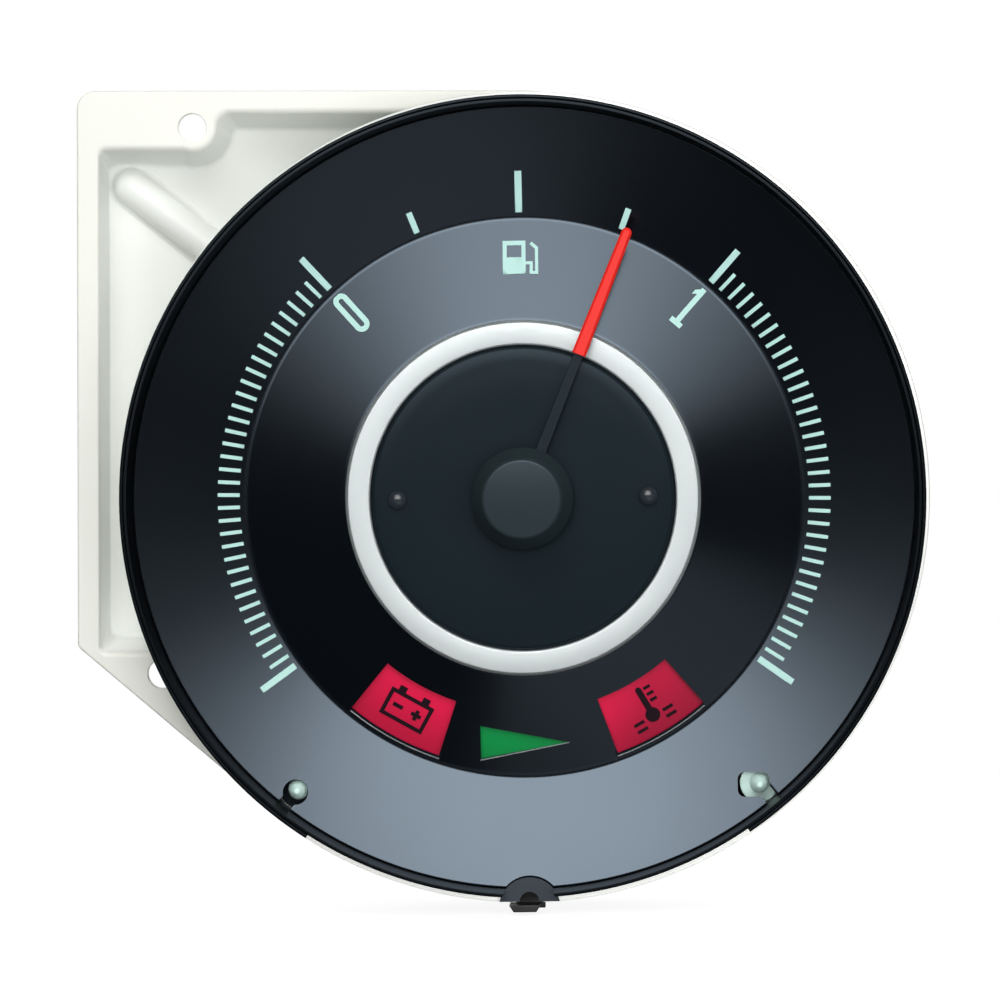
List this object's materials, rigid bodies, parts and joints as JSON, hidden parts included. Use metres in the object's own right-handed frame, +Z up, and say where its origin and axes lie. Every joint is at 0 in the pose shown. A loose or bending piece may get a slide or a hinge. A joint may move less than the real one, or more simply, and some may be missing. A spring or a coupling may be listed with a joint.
{
  "type": "car fuel gauge with warning lamps",
  "caption": "Round car fuel gauge in a white flanged case: swinging red pointer over a black dial with pale scale marks, bright ring, red warning windows and a green arrow.",
  "frame": {"origin": "on the pointer's axis, in the plane of the mounting flange's front face", "axes": "-Y out of the dial towards the driver, +Z up to the middle of the scale, +X to the driver's right, the full side"},
  "size_m": [0.1508, 0.049, 0.1454],
  "materials": {
    "case_white": "smooth",
    "bezel_black": "satin",
    "dial_paint": "satin",
    "mark_ink": "printed",
    "bright_trim": "satin",
    "disc_black": "satin",
    "rivet_steel": "satin",
    "hub_black": "satin",
    "arm_black": "satin",
    "pointer_red": "smooth",
    "warning_red": "translucent",
    "signal_green": "translucent",
    "symbol_ink": "printed",
    "pin_plastic": "moulded",
    "clip_black": "satin",
    "steel": "ground",
    "soft_iron": "plated",
    "brass": "turned",
    "plate_steel": "zinc plated",
    "copper_wire": "enamelled wire",
    "former_nylon": "moulded",
    "fibre_red": "fibre",
    "nut_zinc": "zinc plated",
    "resistor_ceramic": "cast",
    "circuit_copper": "laminate",
    "holder_blue": "moulded",
    "lamp_glass": "clear"
  },
  "bodies": {
    "case": {"case_pan": "case_white", "case_flange": "case_white", "dial_bowl": "bezel_black", "rim_band": "bezel_black", "dial_plate": "dial_paint", "dial_marks": "mark_ink", "trim_ring": "bright_trim", "centre_disc": "disc_black", "disc_rivets": "rivet_steel", "battery_lens": "warning_red", "temperature_lens": "warning_red", "arrow_lens": "signal_green", "lens_symbols": "symbol_ink", "locating_pins": "pin_plastic", "rim_clip": "clip_black", "front_bush": "brass", "rear_bush": "brass", "front_plate": "plate_steel", "rear_plate": "plate_steel", "plate_pillars": "brass", "empty_coil": "copper_wire", "full_coil": "copper_wire", "coil_bobbins": "former_nylon", "pole_cores": "soft_iron", "core_brackets": "plate_steel", "coil_leads": "copper_wire", "stop_posts": "brass", "terminal_studs": "brass", "stud_bushings": "fibre_red", "fibre_washers": "fibre_red", "stud_nuts": "nut_zinc", "shunt_resistor": "resistor_ceramic", "resistor_tabs": "brass", "printed_circuit": "circuit_copper", "lamp_holders": "holder_blue", "lamp_contacts": "brass", "lamp_bulbs": "lamp_glass"},
    "pointer": {"hub_cap": "hub_black", "pointer_arm": "arm_black", "pointer_tip": "pointer_red", "counterweight": "brass", "spindle": "steel", "armature": "soft_iron", "stop_finger": "brass"}
  },
  "joints": [
    {"name": "pointer_swing", "type": "hinge", "parent": "case", "child": "pointer", "pos_m": [0, 0, 0], "axis": [0, 1, 0], "range_deg": [-67.4, 22.6]}
  ]
}
